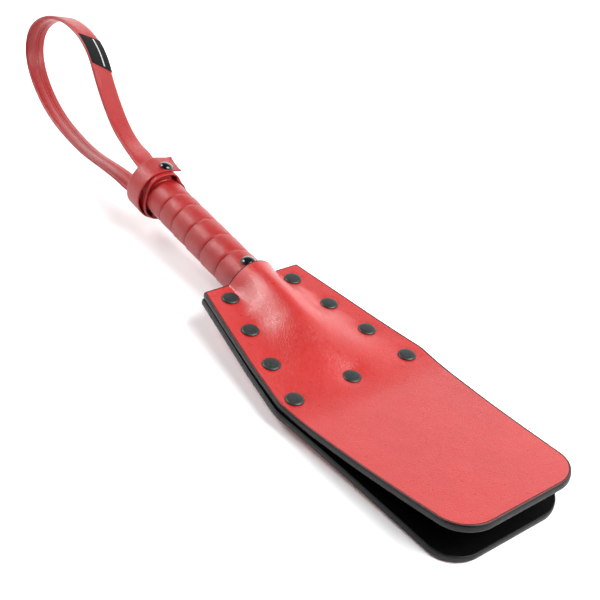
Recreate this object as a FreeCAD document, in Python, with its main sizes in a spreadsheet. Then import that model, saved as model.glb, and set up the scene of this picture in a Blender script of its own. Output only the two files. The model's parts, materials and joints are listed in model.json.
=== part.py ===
"""Two-leaf leather slapper paddle with a wrapped handle, a collar and a wrist loop.

Built level: +X runs along the handle towards the leaves' tip, z = 0 is the handle's axis and the
plane between the two leaves in the neck, and x = 0 is just inside the leaves' edge by the handle.
At the end every sub-part gets one common Placement that lays the paddle down on z = 0, on its
pocket and on the lower leaf's tip. Millimetres.
"""
import FreeCAD, Part
import Sketcher
import math
import os
import re

V = FreeCAD.Vector
Rotation = FreeCAD.Rotation
Placement = FreeCAD.Placement
X_AXIS, Y_AXIS, Z_AXIS = V(1, 0, 0), V(0, 1, 0), V(0, 0, 1)

# ---------------------------------------------------------------- driving dimensions
SIZES = {
    # handle
    "rod_radius": 10.0,
    "rod_back": 121.0,
    "nose_start": 8.0,
    "nose_end": 22.0,
    "nose_radius": 12.0,
    "nose_tip": 84.0,
    "nose_tip_radius": 0.85,
    "wrap_pitch": 16.3,
    "wrap_turns": 9.0,
    "wrap_high": 12.7,
    "wrap_low": 12.05,
    "wrap_seam": 0.03,
    "wrap_back": 120.0,
    # leaves, in plan
    "shoulder_back": 2.6,
    "shoulder_half": 32.3,
    "knee_x": 90.0,
    "knee_half": 48.7,
    "tip_x": 212.0,
    "tip_half": 39.0,
    "tip_round": 18.0,
    "knee_round": 30.0,
    # leaves, through their thickness
    "core_thick": 2.9,
    "face_thick": 1.4,
    "neck_flat": 50.0,
    "neck_bend_radius": 917.0,
    "neck_bend_deg": 3.0,
    "lift_bend_radius": 115.0,
    "lift_bend_deg": 8.0,
    "blade_bend_radius": 1460.0,
    "blade_bend_deg": 4.2,
    "pocket_radius": 12.1,
    "pocket_end": 89.6,
    "hinge_x": 112.4,
    "hinge_gap": 1.0,
    # rivets through the neck
    "rivet_first": 8.5,
    "rivet_pitch": 27.65,
    "rivet_rows": 4.0,
    "rivet_first_half": 21.8,
    "rivet_half_step": 5.5,
    "rivet_cap_radius": 5.0,
    "rivet_cap_thick": 1.2,
    "rivet_cap_round": 0.6,
    "rivet_seat_gap": 0.05,
    "rivet_post_radius": 1.8,
    # dome nails on the handle
    "nail_dome_radius": 4.4,
    "nail_dome_rise": 2.4,
    "nail_shank_radius": 1.6,
    "nail_depth": 7.0,
    "wrap_nail_x": 7.6,
    "snap_x": 106.6,
    # collar and wrist loop, leaning over together about the handle's axis, and the strap's level tails
    "lean_deg": 13.1,
    "collar_back": 118.5,
    "collar_front": 102.0,
    "collar_inner_front": 99.0,
    "collar_bore": 15.4,
    "collar_layer": 1.1,
    "collar_outer_deg": 290.0,
    "tab_reach": 12.4,
    "tab_near_reach": 8.0,
    "strap_width": 14.0,
    "strap_ply": 1.3,
    "strap_seat": 12.75,
    "tail_front": 100.0,
    "tail_back": 119.5,
    "loop_start": 127.0,
    "label_start": 82.0,
    "label_length": 24.0,
    "label_thick": 0.5,
}

doc = FreeCAD.newDocument("two_leaf_paddle")
sheet = doc.addObject("Spreadsheet::Sheet", "Sizes")
for row, (alias, number) in enumerate(SIZES.items(), 1):
    sheet.set("A%d" % row, alias)
    sheet.set("B%d" % row, str(number))
    sheet.setAlias("B%d" % row, alias)
doc.recompute()


def size(formula):
    """The value of a sum or difference of the sheet's aliases, such as "tip_x - knee_x"."""
    total = 0.0
    for sign, alias in re.findall(r"([+-]?)\s*([a-z_]+)", formula):
        total += float(sheet.get(alias)) * (-1.0 if sign == "-" else 1.0)
    return total


def bind(item, prop, formula):
    """Bind a property to a sum or difference of the sheet's aliases."""
    item.setExpression(prop, re.sub(r"([a-z_]+)", r"Sizes.\1", formula))


# ---------------------------------------------------------------- small building blocks
ALONG_X = Rotation(Y_AXIS, 90)


def cylinder(radius, length, place):
    """A cylinder along its own Z, with its radius and length bound to the sheet."""
    item = doc.addObject("Part::Cylinder", "Cylinder")
    bind(item, "Radius", radius)
    bind(item, "Height", length)
    item.Placement = place
    return item


def cylinder_on_x(radius, start, end):
    """A cylinder on the handle's axis from start to end, two sums of aliases."""
    negated = re.sub(r"^\s*([a-z])", r"+\1", start)
    negated = negated.replace("+", "#").replace("-", "+").replace("#", "-")
    return cylinder(radius, end + " " + negated, Placement(V(size(start), 0, 0), ALONG_X))


def tube_on_x(inner, outer, start, end):
    return cut(cylinder_on_x(outer, start, end), cylinder_on_x(inner, start, end))


def cone_on_x(radius_start, radius_end, start, end):
    """A cone on the handle's axis; radius_end is None where it comes to a point."""
    item = doc.addObject("Part::Cone", "Cone")
    bind(item, "Radius1", radius_start)
    item.Radius2 = 0
    if radius_end:
        bind(item, "Radius2", radius_end)
    bind(item, "Height", "%s - %s" % (end, start))
    item.Placement = Placement(V(size(start), 0, 0), ALONG_X)
    return item


def box(x0, x1, y0, y1, z0, z1):
    """A plain block, used only to trim other solids."""
    item = doc.addObject("Part::Box", "Box")
    item.Length, item.Width, item.Height = x1 - x0, y1 - y0, z1 - z0
    item.Placement.Base = V(x0, y0, z0)
    return item


def fuse(*items):
    item = doc.addObject("Part::MultiFuse", "Fuse")
    item.Shapes = list(items)
    item.Refine = True
    return item


def common(*items):
    item = items[0]
    for other in items[1:]:
        both = doc.addObject("Part::Common", "Common")
        both.Base, both.Tool = item, other
        item = both
    return item


def cut(base, *tools):
    item = base
    for tool in tools:
        less = doc.addObject("Part::Cut", "Cut")
        less.Base, less.Tool = item, tool
        item = less
    return item


def group(shapes):
    """Separate solids kept together as one object."""
    item = doc.addObject("Part::Feature", "Group")
    item.Shape = Part.makeCompound(shapes)
    return item


def sketch_in(body, role):
    """A sketch on one of the body's own origin planes."""
    sketch = body.newObject("Sketcher::SketchObject", "Sketch")
    plane = [item for item in body.Origin.OriginFeatures if item.Role == role][0]
    sketch.AttachmentSupport = (plane, [""])
    sketch.MapMode = "FlatFace"
    return sketch


def polygon_in(sketch, corners):
    """A closed outline whose corners are pairs of sums of aliases, or 0, all bound to the sheet."""
    values = [V(*[size(c) if c else 0.0 for c in corner], 0) for corner in corners]
    count = len(values)
    for i in range(count):
        sketch.addGeometry(Part.LineSegment(values[i], values[(i + 1) % count]), False)
    for i in range(count):
        sketch.addConstraint(Sketcher.Constraint("Coincident", i, 2, (i + 1) % count, 1))
    for i, (across, up) in enumerate(corners):
        for kind, formula, axis in (("DistanceX", across, -2), ("DistanceY", up, -1)):
            if not formula:
                sketch.addConstraint(Sketcher.Constraint("PointOnObject", i, 1, axis))
                continue
            index = sketch.addConstraint(Sketcher.Constraint(kind, -1, 1, i, 1, size(formula)))
            bind(sketch, "Constraints[%d]" % index, formula)


def pad(body, sketch, length):
    item = body.newObject("PartDesign::Pad", "Pad")
    item.Profile = sketch
    item.SideType = "Symmetric"
    bind(item, "Length", length)
    return item


def revolved(corners):
    """A body turned about the handle's axis, from corners given as (x, radius)."""
    body = doc.addObject("PartDesign::Body", "Turned")
    sketch = sketch_in(body, "XZ_Plane")
    polygon_in(sketch, corners)
    turn = body.newObject("PartDesign::Revolution", "Revolution")
    turn.Profile = sketch
    turn.ReferenceAxis = (sketch, ["H_Axis"])
    turn.Angle = 360
    return body


# ---------------------------------------------------------------- lines and ribbons
def line_move(length):
    return ("line", length, 0.0)


def arc_move(radius, degrees):
    """An arc of this radius that turns left by degrees, or right where they are negative."""
    return ("arc", radius, math.radians(degrees))


def walk(start, heading, moves):
    """The pieces of a smooth line: ("line", p, q, heading) or ("arc", centre, radius, a0, a1)."""
    pieces, here, angle = [], V(*start, 0), heading
    for kind, amount, turn in moves:
        if kind == "line":
            there = here + V(math.cos(angle), math.sin(angle), 0) * amount
            pieces.append(("line", here, there, angle))
        else:
            side = math.copysign(1.0, turn)
            centre = here + V(-math.sin(angle), math.cos(angle), 0) * amount * side
            a0 = angle - side * math.pi / 2
            pieces.append(("arc", centre, amount, a0, a0 + turn))
            there = centre + V(math.cos(a0 + turn), math.sin(a0 + turn), 0) * amount
            angle += turn
        here = there
    return pieces


def piece_ends(piece, offset):
    """The two ends of one piece, moved to the left of the line by offset."""
    if piece[0] == "line":
        left = V(-math.sin(piece[3]), math.cos(piece[3]), 0) * offset
        return piece[1] + left, piece[2] + left
    kind, centre, radius, a0, a1 = piece
    reach = radius - math.copysign(offset, offset * (a1 - a0)) if offset else radius
    return [centre + V(math.cos(a), math.sin(a), 0) * reach for a in (a0, a1)]


def along(pieces, distance):
    """The point and the heading at a distance along the line."""
    for piece in pieces:
        if piece[0] == "line":
            length = (piece[2] - piece[1]).Length
            if distance <= length:
                step = V(math.cos(piece[3]), math.sin(piece[3]), 0) * distance
                return piece[1] + step, piece[3]
        else:
            kind, centre, radius, a0, a1 = piece
            length = radius * abs(a1 - a0)
            if distance <= length:
                angle = a0 + math.copysign(distance / radius, a1 - a0)
                heading = angle + math.copysign(math.pi / 2, a1 - a0)
                return centre + V(math.cos(angle), math.sin(angle), 0) * radius, heading
        distance -= length
    raise ValueError("the line is shorter than that")


def stretch(pieces, start, length):
    """The part of a line from start on, for this length."""
    moves = []
    passed = 0.0
    point, heading = along(pieces, start)
    for piece in pieces:
        is_line = piece[0] == "line"
        whole = (piece[2] - piece[1]).Length if is_line else piece[2] * abs(piece[4] - piece[3])
        used = min(passed + whole, start + length) - max(passed, start)
        passed += whole
        if used <= 1e-9:
            continue
        if is_line:
            moves.append(line_move(used))
        else:
            moves.append(("arc", piece[2], math.copysign(used / piece[2], piece[4] - piece[3])))
    return walk((point.x, point.y), heading, moves)


def ribbon(pieces, low, high, width):
    """A body between two offsets of a line in the XZ plane, padded evenly about it by width."""
    body = doc.addObject("PartDesign::Body", "Ribbon")
    sketch = sketch_in(body, "XZ_Plane")
    for offset in (low, high):
        for piece in pieces:
            start, end = piece_ends(piece, offset)
            if piece[0] == "line":
                sketch.addGeometry(Part.LineSegment(start, end), False)
                continue
            angles = sorted(piece[3:5])
            circle = Part.Circle(piece[1], Z_AXIS, (start - piece[1]).Length)
            sketch.addGeometry(Part.ArcOfCircle(circle, angles[0], angles[1]), False)
    for piece, end in ((pieces[0], 0), (pieces[-1], 1)):
        edge = Part.LineSegment(piece_ends(piece, low)[end], piece_ends(piece, high)[end])
        sketch.addGeometry(edge, False)
    pad(body, sketch, width)
    return body


# ---------------------------------------------------------------- the leaves' shared shape
core = size("core_thick")
face = size("face_thick")
BACK = size("shoulder_back")
NECK = [line_move(size("shoulder_back + neck_flat")), arc_move(size("neck_bend_radius"), size("neck_bend_deg"))]
TO_TIP = 2 * size("tip_x")
lower_line = walk((-BACK, 0), 0.0, NECK + [line_move(TO_TIP)])
upper_line = walk((-BACK, 0), 0.0, NECK + [
    arc_move(size("lift_bend_radius"), size("lift_bend_deg")),
    arc_move(size("blade_bend_radius"), size("blade_bend_deg")),
    line_move(size("tip_x") - size("hinge_x")),
])

RIBBON_WIDTH = "knee_half + knee_half + knee_half"


def leaf_outline():
    """The leaf's plan, with rounded knees and tip corners, padded through both leaves."""
    body = doc.addObject("PartDesign::Body", "Outline")
    sketch = sketch_in(body, "XY_Plane")
    half = [("-shoulder_back", "shoulder_half"), ("knee_x", "knee_half"), ("tip_x", "tip_half")]
    mirrored = [(x, "-" + y) for x, y in reversed(half)]
    polygon_in(sketch, half + mirrored)
    block = pad(body, sketch, "tip_x")
    doc.recompute()
    for x, half_width, radius in (("tip_x", "tip_half", "tip_round"), ("knee_x", "knee_half", "knee_round")):
        names = []
        for index, edge in enumerate(block.Shape.Edges, 1):
            middle = edge.CenterOfMass
            if abs(middle.x - size(x)) < 0.1 and abs(abs(middle.y) - size(half_width)) < 0.1:
                names.append("Edge%d" % index)
        rounding = body.newObject("PartDesign::Fillet", "Fillet")
        rounding.Base = (block, names)
        bind(rounding, "Radius", radius)
        doc.recompute()
        block = rounding
    return body


outline = leaf_outline()
SPREAD = size("knee_half + tip_round")
GAP_START = size("hinge_x") - size("hinge_gap") / 2
GAP_END = size("hinge_x") + size("hinge_gap") / 2
root_zone = box(-BACK, GAP_START, -SPREAD, SPREAD, -SPREAD, SPREAD)
blade_zone = box(GAP_END, size("tip_x + tip_round"), -SPREAD, SPREAD, -SPREAD, SPREAD)


def envelope(layers):
    """The pocket over the rod's nose, grown by layers, a sum of aliases or None for the pocket itself."""
    grown = "pocket_radius + " + layers if layers else "pocket_radius"
    straight = cylinder_on_x(grown, "-shoulder_back", "nose_end")
    return fuse(straight, cone_on_x(grown, layers, "nose_end", "pocket_end"))


def rivet_places():
    """Each neck rivet's point on the plane between the leaves, and the neck's slope there."""
    places = []
    rows = int(size("rivet_rows"))
    for row in range(rows):
        distance = BACK + size("rivet_first") + row * size("rivet_pitch")
        half = size("rivet_first_half") + row * size("rivet_half_step")
        point, slope = along(lower_line, distance)
        columns = (-half, half) if row < rows - 1 else (-half, 0.0, half)
        for y in columns:
            places.append(Placement(V(point.x, y, point.y), Rotation(Y_AXIS, -math.degrees(slope))))
    return places


def rivet_group(prototype):
    """One copy of a shape at each neck rivet, as separate solids."""
    shapes = []
    for place in rivet_places():
        shape = prototype.copy()
        shape.Placement = place.multiply(shape.Placement)
        shapes.append(shape)
    return group(shapes)


def turned_over(shape):
    """The same shape on the other side of the plane between the leaves."""
    below = shape.copy()
    below.rotate(V(0, 0, 0), X_AXIS, 180)
    return below


stack = core + face
cap_radius, cap_thick = size("rivet_cap_radius"), size("rivet_cap_thick")
post = Part.makeCylinder(size("rivet_post_radius"), 2 * stack, V(0, 0, -stack))
cap = Part.makeCylinder(cap_radius, cap_thick, V(0, 0, stack))
rim = [edge for edge in cap.Edges if edge.BoundBox.ZMin > stack + cap_thick / 2 and edge.Length > cap_radius]
cap = cap.makeFillet(size("rivet_cap_round"), rim)
# The leather under a cap is pressed flat, so a clear space is cut for each cap.
seat_gap = size("rivet_seat_gap")
seat = Part.makeCylinder(cap_radius + seat_gap, 2 * cap_thick, V(0, 0, stack - seat_gap))
rivet_posts = rivet_group(post)
rivet_caps_top, rivet_caps_bottom = rivet_group(cap), rivet_group(turned_over(cap))
rivet_seats = {1: rivet_group(seat), -1: rivet_group(turned_over(seat))}


def leaf_pieces(line, side):
    """The four pieces of one leaf: side is 1 for the upper leaf and -1 for the lower one."""
    core_band = ribbon(line, *sorted((0, side * core)), RIBBON_WIDTH)
    face_band = ribbon(line, *sorted((side * core, side * (core + face))), RIBBON_WIDTH)
    half = common(ribbon(line, *sorted((0, side * SPREAD)), RIBBON_WIDTH), root_zone)
    inner, middle, outer = envelope(None), envelope("core_thick"), envelope("core_thick + face_thick")
    root_core = fuse(common(core_band, outline, root_zone), common(middle, half))
    root_core = cut(root_core, inner, rivet_posts)
    root_face = fuse(common(face_band, outline, root_zone), common(outer, half))
    root_face = cut(root_face, middle, core_band, rivet_posts, rivet_seats[side])
    blade_core = common(core_band, outline, blade_zone)
    blade_face = common(face_band, outline, blade_zone)
    return root_core, root_face, blade_core, blade_face


# ---------------------------------------------------------------- handle
def nail(x_formula, base_radius, place):
    """A dome-headed nail standing on a seat: (head, shank), radial at x, before its lean."""
    x = -size(x_formula)
    head = doc.addObject("Part::Ellipsoid", "Dome")
    bind(head, "Radius1", "nail_dome_rise")
    bind(head, "Radius2", "nail_dome_radius")
    bind(head, "Radius3", "nail_dome_radius")
    head.Angle1 = 0
    head.Placement = place.multiply(Placement(V(x, 0, base_radius), Rotation()))
    foot = size("nail_depth")
    shank = doc.addObject("Part::Cylinder", "Shank")
    bind(shank, "Radius", "nail_shank_radius")
    shank.Height = base_radius - foot
    shank.Placement = place.multiply(Placement(V(x, 0, foot), Rotation()))
    return head, shank


LEAN = Placement(V(0, 0, 0), Rotation(X_AXIS, -size("lean_deg")))
LEVEL = Placement()
collar_mid = size("collar_bore + collar_layer")
collar_top = size("collar_bore + collar_layer + collar_layer")
wrap_head, wrap_shank = nail("wrap_nail_x", size("wrap_high"), LEVEL)
snap_head, snap_shank = nail("snap_x", collar_top, LEVEL)
snap_shank_leaning = cylinder("nail_shank_radius", "collar_bore", LEAN.multiply(
    Placement(V(-size("snap_x"), 0, size("nail_depth")), Rotation())))

rod_body = revolved([
    ("-rod_back", None), ("-rod_back", "rod_radius"), ("nose_start", "rod_radius"),
    ("nose_start", "nose_radius"), ("nose_end", "nose_radius"),
    ("nose_tip", "nose_tip_radius"), ("nose_tip", None)])
handle_rod = cut(rod_body, wrap_shank, snap_shank_leaning)


def grip_wrap():
    """One leather strip wound left-handed round the rod, each turn's back edge standing proud."""
    helix = doc.addObject("Part::Helix", "Helix")
    helix.LocalCoord = 1
    helix.Placement = Placement(V(-size("wrap_back") - size("wrap_pitch"), 0, 0), ALONG_X)
    bind(helix, "Pitch", "wrap_pitch")
    helix.setExpression("Height", "Sizes.wrap_pitch * Sizes.wrap_turns")
    bind(helix, "Radius", "rod_radius")
    strip = doc.addObject("Part::Feature", "StripSection")
    seam, far = size("wrap_seam"), size("wrap_pitch - wrap_seam")
    corners = [V(size("rod_radius"), 0, seam), V(size("wrap_high"), 0, seam),
               V(size("wrap_low"), 0, far), V(size("rod_radius"), 0, far)]
    strip.Shape = Part.makePolygon(corners + corners[:1])
    strip.Placement = helix.Placement
    sweep = doc.addObject("Part::Sweep", "Sweep")
    sweep.Sections = [strip]
    sweep.Spine = (helix, ["Edge1"])
    sweep.Solid = True
    sweep.Frenet = True
    open_part = cylinder_on_x("collar_bore", "-wrap_back", "-shoulder_back - wrap_seam")
    in_pocket = cylinder_on_x("wrap_low", "-shoulder_back - wrap_seam", "nose_start")
    return cut(common(sweep, fuse(open_part, in_pocket)), wrap_shank, snap_shank_leaning)


# ---------------------------------------------------------------- collar, strap and label
def collar_turns():
    """The collar's inner turn, a ring, and its outer turn, which ends in a free tab on top."""
    inner = tube_on_x("collar_bore", "collar_bore + collar_layer", "-collar_back", "-collar_inner_front")
    outer = tube_on_x("collar_bore + collar_layer", "collar_bore + collar_layer + collar_layer",
                      "-collar_back", "-collar_front")
    open_deg = 360 - size("collar_outer_deg")
    opening = Placement(V(-size("collar_back"), 0, 0), Rotation(X_AXIS, 180 - open_deg).multiply(ALONG_X))
    wedge = cylinder("tip_half", "collar_back", opening)
    wedge.Angle = open_deg
    body = doc.addObject("PartDesign::Body", "Tab")
    sketch = sketch_in(body, "XY_Plane")
    polygon_in(sketch, [("-collar_back", None), ("-collar_front", None),
                        ("-collar_front", "tab_near_reach"), ("-collar_back", "tab_reach")])
    tab = body.newObject("PartDesign::Pad", "Pad")
    tab.Profile = sketch
    bind(tab, "Length", "collar_layer")
    body.Placement.Base = V(0, 0, collar_mid)
    return cut(inner, snap_shank), cut(fuse(cut(outer, wedge), body), snap_shank)


def tail(side):
    """One end of the strap, curved to sit on the wrapped handle under the collar."""
    ring = tube_on_x("strap_seat", "strap_seat + strap_ply + strap_ply", "-tail_back", "-tail_front")
    half = size("strap_width") / 2
    slab = box(-size("tail_back"), -size("tail_front"), -half, half, *sorted((0, side * SPREAD)))
    piece = common(ring, slab)
    return cut(piece, snap_shank_leaning) if side > 0 else piece


def rounded(points):
    """The moves of a route: at each inner point an arc that takes SHARE of the shorter run beside it."""
    SHARE = 0.45
    moves = []
    runs = [points[i + 1] - points[i] for i in range(len(points) - 1)]
    used = 0.0
    for before, after in zip(runs, runs[1:]):
        turn = math.atan2(before.x * after.y - before.y * after.x, before.dot(after))
        setback = SHARE * min(before.Length, after.Length)
        radius = setback / math.tan(abs(turn) / 2)
        moves += [line_move(before.Length - used - setback), ("arc", radius, turn)]
        used = setback
    return moves + [line_move(runs[-1].Length - used)]


# The strap's middle line in the loop's own plane, from the collar's top, out and back below.
LOOP_ROUTE = [V(*point, 0) for point in (
    (-127.0, 14.0), (-150.0, 12.0), (-182.0, 27.0), (-215.0, 51.0), (-258.0, 51.0), (-290.0, 30.0),
    (-284.0, 4.0), (-244.0, -15.0), (-194.0, -18.0), (-152.0, -13.0), (-127.0, -14.3))]
first_run = LOOP_ROUTE[1] - LOOP_ROUTE[0]
loop_line = walk((LOOP_ROUTE[0].x, LOOP_ROUTE[0].y), math.atan2(first_run.y, first_run.x),
                 rounded(LOOP_ROUTE))
ply = size("strap_ply")
label_line = stretch(loop_line, size("label_start"), size("label_length"))

# ---------------------------------------------------------------- the sub-parts
upper = leaf_pieces(upper_line, 1)
lower = leaf_pieces(lower_line, -1)
collar_inner, collar_outer = collar_turns()
leaning = {
    "collar_inner_turn": collar_inner,
    "collar_outer_turn": collar_outer,
    "collar_snap_dome": snap_head,
    "collar_snap_shank": snap_shank,
    "wrist_loop_inner_ply": ribbon(loop_line, 0, ply, "strap_width"),
    "wrist_loop_outer_ply": ribbon(loop_line, -ply, 0, "strap_width"),
    "woven_label": ribbon(label_line, -ply - size("label_thick"), -ply, "strap_width"),
}
level = {
    "handle_rod": handle_rod,
    "grip_wrap": grip_wrap(),
    "wrap_nail_dome": wrap_head,
    "wrap_nail_shank": wrap_shank,
    "strap_tail_top": tail(1),
    "strap_tail_bottom": tail(-1),
    "upper_neck_core": upper[0],
    "upper_neck_face": upper[1],
    "upper_blade_core": upper[2],
    "upper_blade_face": upper[3],
    "lower_neck_core": lower[0],
    "lower_neck_face": lower[1],
    "lower_blade_core": lower[2],
    "lower_blade_face": lower[3],
    "neck_rivet_posts": rivet_posts,
    "neck_rivet_caps_top": rivet_caps_top,
    "neck_rivet_caps_bottom": rivet_caps_bottom,
}
doc.recompute()


# ---------------------------------------------------------------- laid down and written
def rest_placement():
    """Tip the level paddle down about Y until pocket and lower tip share a plane, and centre it."""
    tip = lower[3].Shape.BoundBox
    ends = [vertex.Point for vertex in lower[3].Shape.Vertexes if vertex.Point.x > tip.XMax - face]
    tip_corner = min(ends, key=lambda point: point.z)
    pocket = V(size("nose_end"), 0, -size("pocket_radius") - core - face)
    tilt = math.degrees(math.atan2(tip_corner.z - pocket.z, tip_corner.x - pocket.x))
    turn = Placement(V(0, 0, 0), Rotation(Y_AXIS, tilt))
    whole = FreeCAD.BoundBox()
    for pieces, lean in ((level, LEVEL), (leaning, LEAN)):
        for item in pieces.values():
            shape = item.Shape.copy()
            shape.Placement = turn.multiply(lean).multiply(shape.Placement)
            whole.add(shape.optimalBoundingBox(False))
    centre = whole.Center
    print("tilt %.3f deg, box %.1f x %.1f x %.1f mm" % (tilt, whole.XLength, whole.YLength, whole.ZLength))
    return Placement(V(-centre.x, -centre.y, -whole.ZMin), turn.Rotation)


def check(item):
    if "Invalid" in item.State or "Error" in item.State:
        raise RuntimeError("%s failed: %s" % (item.Name, item.State))


for item in doc.Objects:
    check(item)
rest = rest_placement()
print("rest placement", rest)
nodes = {}
for pieces, lean in ((level, LEVEL), (leaning, LEAN)):
    for name, item in pieces.items():
        node = item
        if any(user.TypeId.startswith("Part::") for user in item.InList):
            node = doc.addObject("Part::Compound", "Node")
            node.Links = [item]
        node.Label = name
        node.Placement = rest.multiply(lean).multiply(node.Placement)
        nodes[name] = node
doc.recompute()
for name, node in nodes.items():
    check(node)
    if node.Shape.isNull() or not node.Shape.isValid() or not node.Shape.Solids:
        raise RuntimeError(name + " has no valid shape")
    print("%-24s %d solid(s) %10.1f mm3" % (name, len(node.Shape.Solids), node.Shape.Volume))

os.makedirs("parts", exist_ok=True)
for name, node in nodes.items():
    node.Shape.exportStep("parts/%s.step" % name)
print(len(nodes), "nodes written")
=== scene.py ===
"""Two-leaf leather paddle: the looks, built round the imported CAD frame.

Shapes are worked out level, in millimetres: +X along the handle towards the leaves' tip, z = 0 on the
handle's axis, x = 0 at the leaves' edge on the handle's side. LEVEL then lays them where the frame is.
"""
import json
import math

import bmesh
import bpy
import numpy as np
from mathutils import Matrix, Vector


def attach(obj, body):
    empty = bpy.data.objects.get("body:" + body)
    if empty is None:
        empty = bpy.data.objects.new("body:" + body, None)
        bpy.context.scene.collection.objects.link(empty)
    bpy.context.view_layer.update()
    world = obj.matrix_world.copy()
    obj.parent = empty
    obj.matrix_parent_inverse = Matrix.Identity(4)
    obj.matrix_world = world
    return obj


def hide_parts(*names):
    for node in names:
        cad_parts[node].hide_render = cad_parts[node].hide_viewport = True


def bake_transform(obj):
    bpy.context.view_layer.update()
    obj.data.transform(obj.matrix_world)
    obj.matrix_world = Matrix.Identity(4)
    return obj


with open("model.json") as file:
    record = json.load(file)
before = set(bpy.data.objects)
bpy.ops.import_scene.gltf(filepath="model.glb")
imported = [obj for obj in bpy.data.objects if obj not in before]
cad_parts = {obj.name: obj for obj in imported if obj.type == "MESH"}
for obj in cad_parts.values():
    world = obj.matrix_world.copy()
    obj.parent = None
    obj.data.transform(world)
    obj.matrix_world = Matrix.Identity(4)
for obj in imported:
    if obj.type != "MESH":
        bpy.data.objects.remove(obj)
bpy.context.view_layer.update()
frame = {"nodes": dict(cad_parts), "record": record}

MM = 0.001

# ------------------------------------------------------------------ the level frame, from the record
GRIP_MIDDLE = -50.0
LEAN_DEG = 13.1
grip = {mount["name"]: mount for mount in frame["record"]["mounts"]}["grip"]
ahead = -Vector(grip["axis"])
side_way = Vector((0, 1, 0))
up_way = ahead.cross(side_way)
origin = Vector(grip["pos_m"]) - ahead * GRIP_MIDDLE * MM
LEVEL = Matrix([[ahead[i], side_way[i], up_way[i], origin[i]] for i in range(3)] + [[0, 0, 0, 1]])
LEAN = LEVEL @ Matrix.Rotation(-math.radians(LEAN_DEG), 4, "X")


def placed(points, place=LEVEL):
    """Level points in mm as points of the frame in metres."""
    points = np.asarray(points, float).reshape(-1, 3) * MM
    turn = np.array(place.to_3x3())
    return points @ turn.T + np.array(place.translation)


# ------------------------------------------------------------------ dimensions, mm
LEAF_CORE, LEAF_FACE = 2.9, 1.4
LEAF = LEAF_CORE + LEAF_FACE
SHOULDER_BACK = -2.6
SHOULDER_HALF, KNEE_X, KNEE_HALF, TIP_X, TIP_HALF = 32.3, 90.0, 48.7, 212.0, 39.0
SHOULDER_ROUND, KNEE_ROUND, TIP_ROUND = 0.9, 24.0, 18.0
# The flat leaf's bends: stations along it, and the degrees it has turned by each. Its joint runs
# from FLEX_START to FLEX_END.
LEAF_BENDS = {
    1: ((0, 50, 98, 114.1, 221), (0, 0, 3.0, 11.0, 15.2)),
    -1: ((0, 50, 98, 221), (0, 0, 3.0, 3.0)),
}
FLEX_START, FLEX_END = 99.0, 130.0
# The pocket's crest over the flat leaf, and the half width of its skirts, at stations along the leaf.
CREST_X = (-10, 0, 15, 28, 40, 50, 57, 64, 71, 78, 86, 96, 104)
CREST_RISE = (12.1, 12.1, 11.8, 11.0, 10.0, 8.6, 7.1, 5.5, 4.2, 3.2, 2.1, 0.7, 0.0)
SKIRT_X = (0, 10, 20, 35, 50, 65, 80, 95)
SKIRT_HALF = (17.0, 20.5, 24.0, 27.5, 31.0, 35.0, 38.0, 40.0)
# How steeply the skirts fall, how round the crest is, and how softly the mouth's arch meets the flat leaf.
FALL_X, FALL = (30, 80), (1.5, 1.15)
CREST_ROUND_X, CREST_ROUND = (10, 35, 60, 90), (12.0, 6.5, 7.0, 14.0)
FOOT_X, FOOT_REACH = (-3, 4, 12), (3.0, 6.0, 12.0)
# The pocket's mouth is an arch round the rod, whose sides go on down at a slope, and farther along the
# pocket is a tent: one turns into the other between two stations.
ARCH_SLOPE, ARCH_UNTIL, TENT_FROM = 2, -2.0, 25.0
# How far each leaf's left and right edges stand towards the right-hand side, at stations along it: cut by
# hand, its two knees differ. The shift fades inwards as this power of the place across.
ASIDE_POWER = 6
ASIDE_X = (0, 30, 60, 90, 105, 125, 150, 185, 215)
RIGHT_ASIDE = (0.4, 1.3, 2.2, 3.0, 3.6, 3.1, 2.4, 1.8, 1.1)
LEFT_ASIDE = {1: (0.0, 0.2, 0.8, 2.1, 2.2, 1.5, 0.8, 0.4, 0.2),
              -1: (-0.7, -0.5, -0.3, 0.4, 0.8, 1.1, 0.9, 0.5, 0.0)}
LOWER_SHORTER = 1.6
PLY_INSET, EDGE_INSET, EDGE_ROUND, EDGE_PROUD = 0.5, 0.75, 1.25, 0.05
# How far the painted edge stands out beyond the outline, at its corners and half way.
EDGE_OUT, EDGE_MIDDLE_OUT = 0.12, 0.2
RIVET_X, RIVET_STEP, RIVET_HALF, RIVET_HALF_STEP = 8.5, 27.65, 21.8, 5.5
# A rivet holds the leather down over the first reach, and its cap presses a hollow of the second.
HELD_REACH, DENT_REACH, DENT_DEPTH = 9.5, 6.2, 0.35
CAP_R, CAP_RISE, CAP_LIFT, NAIL_R, NAIL_RISE = 5.0, 1.2, 0.12, 4.4, 2.3
COLLAR_BACK, COLLAR_FRONT, COLLAR_INNER_FRONT = -118.5, -102.0, -99.0
COLLAR_BORE, COLLAR_LAYER = 15.4, 1.1
SNAP_X, WRAP_NAIL_X, WRAP_NAIL_SEAT = -106.6, -7.6, 12.35
STRAP_WIDTH, STRAP_THICK, STRAP_SEAT = 14.0, 2.6, 12.75


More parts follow.
